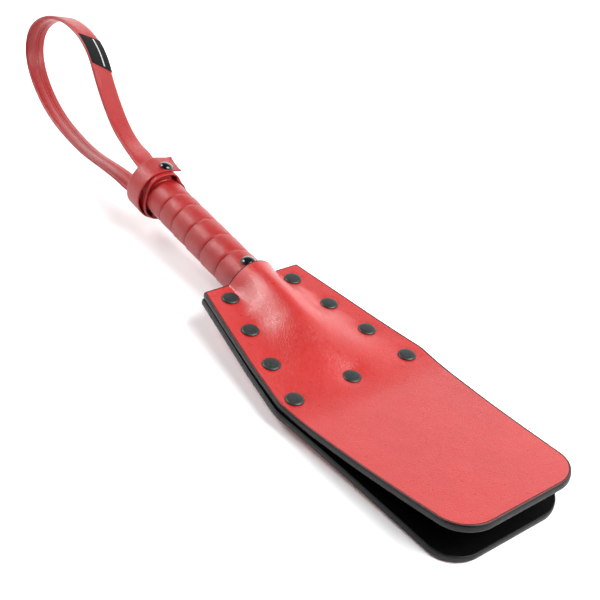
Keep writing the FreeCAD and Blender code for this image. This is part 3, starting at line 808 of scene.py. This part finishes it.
def smooth_route(route, samples):
    """Evenly spaced points on the quadratic B-spline of a route, a little smoothed."""
    curve = bpy.data.curves.new("route", "CURVE")
    curve.dimensions = "3D"
    spline = curve.splines.new("NURBS")
    spline.points.add(len(route) - 1)
    for point, (x, z) in zip(spline.points, route):
        point.co = (x, 0, z, 1)
    spline.order_u = 3
    spline.use_endpoint_u = True
    spline.resolution_u = 24
    holder = bpy.data.objects.new("route", curve)
    bpy.context.scene.collection.objects.link(holder)
    line = bpy.data.meshes.new_from_object(holder)
    found = np.array([(v.co.x, v.co.z) for v in line.vertices])
    bpy.data.objects.remove(holder)
    bpy.data.curves.remove(curve)
    bpy.data.meshes.remove(line)
    run = np.concatenate([[0], np.cumsum(np.linalg.norm(np.diff(found, axis=0), axis=1))])
    even = np.linspace(0, run[-1], samples)
    points = np.stack([np.interp(even, run, found[:, i]) for i in (0, 1)], 1)
    kernel = np.ones(5) / 5
    inner = np.stack([np.convolve(points[:, i], kernel, "valid") for i in (0, 1)], 1)
    points[3:-3] = inner[1:-1]
    return points


def strap_section():
    """(across, through) of the folded strap, once round: through is positive on the loop's outside."""
    half, thick = STRAP_WIDTH / 2, STRAP_THICK / 2
    outer = [(half - 0.9, thick), (half * 0.5, thick), (0, thick), (-half * 0.5, thick),
             (-half + 0.9, thick)]
    left = [(-half + 0.3, thick - 0.25), (-half, thick - 0.8), (-half + 0.4, 0.0), (-half, -thick + 0.8),
            (-half + 0.3, -thick + 0.25)]
    inner = [(-half + 0.9, -thick), (-half * 0.5, -thick), (-0.2, -thick), (0.05, -thick + 0.14),
             (0.3, -thick + 0.02), (1.4, -thick + 0.02), (1.65, -thick + 0.14), (1.9, -thick),
             (half * 0.5, -thick), (half - 0.9, -thick)]
    right = [(-a, b) for a, b in left[::-1]]
    return np.array(outer + left + inner + right)


def strap_at(points, across, through):
    """Level points of the strap: it lies flat in the loop and curves round the handle in the collar.

    The route runs out on top and back below, which puts out on the loop's outside.
    """
    tangent = np.gradient(points, axis=0)
    tangent /= np.linalg.norm(tangent, axis=1)[:, None]
    out = np.stack([tangent[:, 1], -tangent[:, 0]], 1)
    centre = points[:, None, :] + out[:, None, :] * through[..., None]
    x, z = centre[..., 0], centre[..., 1]
    y = across * np.ones_like(x)
    above = points[:, 1][:, None] > 0
    side = np.where(above, 1.0, -1.0)
    hug = np.where(above, eased(x, *HUG_TOP), eased(x, *HUG_BELOW))
    radius = np.abs(z)
    angle = y / (STRAP_SEAT + STRAP_THICK / 2)
    y_hug, z_hug = radius * np.sin(angle), side * radius * np.cos(angle)
    y, z = y + (y_hug - y) * hug, z + (z_hug - z) * hug
    # The loop leans over, but its two ends sit level in the collar, so the strap twists a little between.
    level = np.where(above, eased(x, *LEVEL_TOP), eased(x, *LEVEL_BELOW))
    lean = math.radians(LEAN_DEG) * level
    y = y + LOOP_ASIDE * (1 - level * ~above)
    return np.stack([x, y * np.cos(lean) - z * np.sin(lean), y * np.sin(lean) + z * np.cos(lean)], -1)


def make_strap():
    """The folded strap, whose two ends lie under the collar; gives its route."""
    route = smooth_route(STRAP_ROUTE, 321)
    section = strap_section()
    points = strap_at(route, section[:, 0][None, :], section[:, 1][None, :])
    strap = tube_piece("wrist_strap", points, red_deep, LEAN, 40)
    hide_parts("strap_tail_top", "strap_tail_bottom", "wrist_loop_inner_ply",
                "wrist_loop_outer_ply")
    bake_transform(strap)
    return route


strap_route = make_strap()
# The label's place along the strap, as shares of the route, and how far its ends lie aslant.
LABEL_FROM, LABEL_TO, LABEL_SLANT = 0.264, 0.326, 5.0
LABEL_LEFT, LABEL_RIGHT, LABEL_THICK = -6.6, 7.1, 0.45


def on_strap(name, section, first, last, slant, material):
    """A strip on the strap's outside, between two places along the route, with its ends aslant."""
    places = np.linspace(first, last, 23)
    index = np.arange(len(strap_route))
    columns = []
    for across, through in section:
        line = strap_at(strap_route, np.array([[across]]), np.array([[through]]))[:, 0]
        back = slant * (across - LABEL_LEFT) / (LABEL_RIGHT - LABEL_LEFT)
        columns.append(np.stack([np.interp(places - back, index, line[:, i]) for i in range(3)], 1))
    points = np.stack(columns, 1)
    piece = tube_piece(name, points, material, LEAN, 35)
    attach(piece, "wrist_loop")
    return piece


def make_label():
    """The woven label, folded over the strap's right edge, with one plain pale stripe."""
    first, last = (share * (len(strap_route) - 1) for share in (LABEL_FROM, LABEL_TO))
    top = STRAP_THICK / 2
    over = top + LABEL_THICK
    cloth = [(LABEL_LEFT, top - 0.02), (LABEL_LEFT, over - 0.1), (LABEL_LEFT + 0.3, over), (0.0, over),
             (LABEL_RIGHT - 0.6, over), (LABEL_RIGHT, top + 0.1), (LABEL_RIGHT + 0.05, -0.6),
             (LABEL_RIGHT - 0.45, -0.6), (LABEL_RIGHT - 0.5, top - 0.02)]
    stripe = [(1.5, top + 0.2), (1.5, over + 0.06), (2.3, over + 0.06), (2.3, top + 0.2)]
    label = on_strap("woven_label_cloth", cloth, first, last, LABEL_SLANT, label_black)
    on_strap("woven_label_stripe", stripe, first + 1, last - 1, LABEL_SLANT, pale_thread)
    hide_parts("woven_label")


make_label()


# ------------------------------------------------------------------ CAD nodes that stay
for node, material in (("handle_rod", rod_wood), ("wrap_nail_shank", steel), ("collar_snap_shank", steel),
                       ("neck_rivet_posts", steel)):
    mesh = frame["nodes"][node].data
    mesh.materials.clear()
    mesh.materials.append(material)


# ------------------------------------------------------------------ floor, light and camera
def make_floor():
    """A white floor, 12 m across."""
    half = 6.0
    corners = [(-half, -half, 0), (half, -half, 0), (half, half, 0), (-half, half, 0)]
    mesh = bpy.data.meshes.new("floor")
    mesh.from_pydata(corners, [], [(0, 1, 2, 3)])
    n = Nodes("floor_white")
    white = n.finish(Base_Color=(0.93, 0.93, 0.935, 1), Roughness=0.9, Specular_IOR_Level=0.1)
    mesh.materials.append(white)
    floor = bpy.data.objects.new("floor", mesh)
    bpy.context.scene.collection.objects.link(floor)


LIGHT_AIM = Vector((0, 0, 0.02))


def area_light(name, azimuth, elevation, distance, size, power):
    """A soft light. Azimuth 0 is on the -Y side of the paddle, and 90 on the +X side."""
    a, e = math.radians(azimuth), math.radians(elevation)
    back = Vector((math.sin(a) * math.cos(e), -math.cos(a) * math.cos(e), math.sin(e)))
    light = bpy.data.lights.new(name, "AREA")
    light.shape = "RECTANGLE"
    light.size, light.size_y = size
    light.energy = power
    lamp = bpy.data.objects.new(name, light)
    lamp.location = LIGHT_AIM + back * distance
    lamp.rotation_mode = "QUATERNION"
    lamp.rotation_quaternion = (-back).to_track_quat("-Z", "Y")
    bpy.context.scene.collection.objects.link(lamp)


make_floor()
area_light("key_far_right", 122, 50, 2.2, (1.6, 1.3), 84)
area_light("soft_left", -56, 46, 1.6, (0.7, 0.6), 20)


# The studio's brightness at heights from level (0) to straight up (1), which way its far side lies, and
# the strengths on the near side and the far side.
STUDIO_STOPS = ((0.0, 1.0), (0.42, 1.0), (0.6, 0.07), (1.0, 0.04))
STUDIO_FAR = (-0.72, 0.69, 0.0)
STUDIO_NEAR_STRENGTH, STUDIO_FAR_STRENGTH = 0.12, 2.1


def make_world():
    """A white studio: bright low down, most on the far side, and dim overhead."""
    world = bpy.data.worlds.new("studio")
    world.use_nodes = True
    tree = world.node_tree
    place = tree.nodes.new("ShaderNodeTexCoord")
    split = tree.nodes.new("ShaderNodeSeparateXYZ")
    ramp = tree.nodes.new("ShaderNodeValToRGB")
    tree.links.new(place.outputs["Generated"], split.inputs["Vector"])
    tree.links.new(split.outputs["Z"], ramp.inputs["Fac"])
    for index, (at, grey) in enumerate(STUDIO_STOPS):
        stop = ramp.color_ramp.elements[index] if index < 2 else ramp.color_ramp.elements.new(at)
        stop.position = at
        stop.color = (grey, grey, grey, 1)
    toward = tree.nodes.new("ShaderNodeVectorMath")
    toward.operation = "DOT_PRODUCT"
    toward.inputs[1].default_value = STUDIO_FAR
    tree.links.new(place.outputs["Generated"], toward.inputs[0])
    far_side = tree.nodes.new("ShaderNodeMapRange")
    settings = {"From Min": -1.0, "From Max": 1.0, "To Min": STUDIO_NEAR_STRENGTH,
                "To Max": STUDIO_FAR_STRENGTH}
    for key, value in settings.items():
        far_side.inputs[key].default_value = value
    tree.links.new(toward.outputs["Value"], far_side.inputs["Value"])
    background = tree.nodes["Background"]
    tree.links.new(ramp.outputs["Color"], background.inputs["Color"])
    tree.links.new(far_side.outputs["Result"], background.inputs["Strength"])
    bpy.context.scene.world = world


make_world()
bpy.context.scene.view_settings.view_transform = "Standard"

CAMERA_AZIMUTH, CAMERA_ELEVATION, CAMERA_ROLL = 46.1, 37.5, 12.0
CAMERA_DISTANCE, CAMERA_LENS = 595.0, 63.0
CAMERA_TARGET = (26.4, 13.9, 4.2)


def make_camera():
    """A camera in the level frame: azimuth turns it from -Y towards +X, and it rolls clockwise."""
    a, e, roll = (math.radians(v) for v in (CAMERA_AZIMUTH, CAMERA_ELEVATION, CAMERA_ROLL))
    back = Vector((math.sin(a) * math.cos(e), -math.cos(a) * math.cos(e), math.sin(e)))
    right = Vector((math.cos(a), math.sin(a), 0))
    over = back.cross(right)
    right_rolled = right * math.cos(roll) + over * math.sin(roll)
    over_rolled = over * math.cos(roll) - right * math.sin(roll)
    turn = Matrix([right_rolled, over_rolled, back]).transposed()
    where = Vector(CAMERA_TARGET) + back * CAMERA_DISTANCE
    data = bpy.data.cameras.new("camera")
    data.lens, data.sensor_width = CAMERA_LENS, 36.0
    data.clip_start, data.clip_end = 0.01, 20.0
    camera = bpy.data.objects.new("camera", data)
    camera.matrix_world = LEVEL @ (Matrix.Translation(where * MM) @ turn.to_4x4())
    bpy.context.scene.collection.objects.link(camera)
    bpy.context.scene.camera = camera


make_camera()
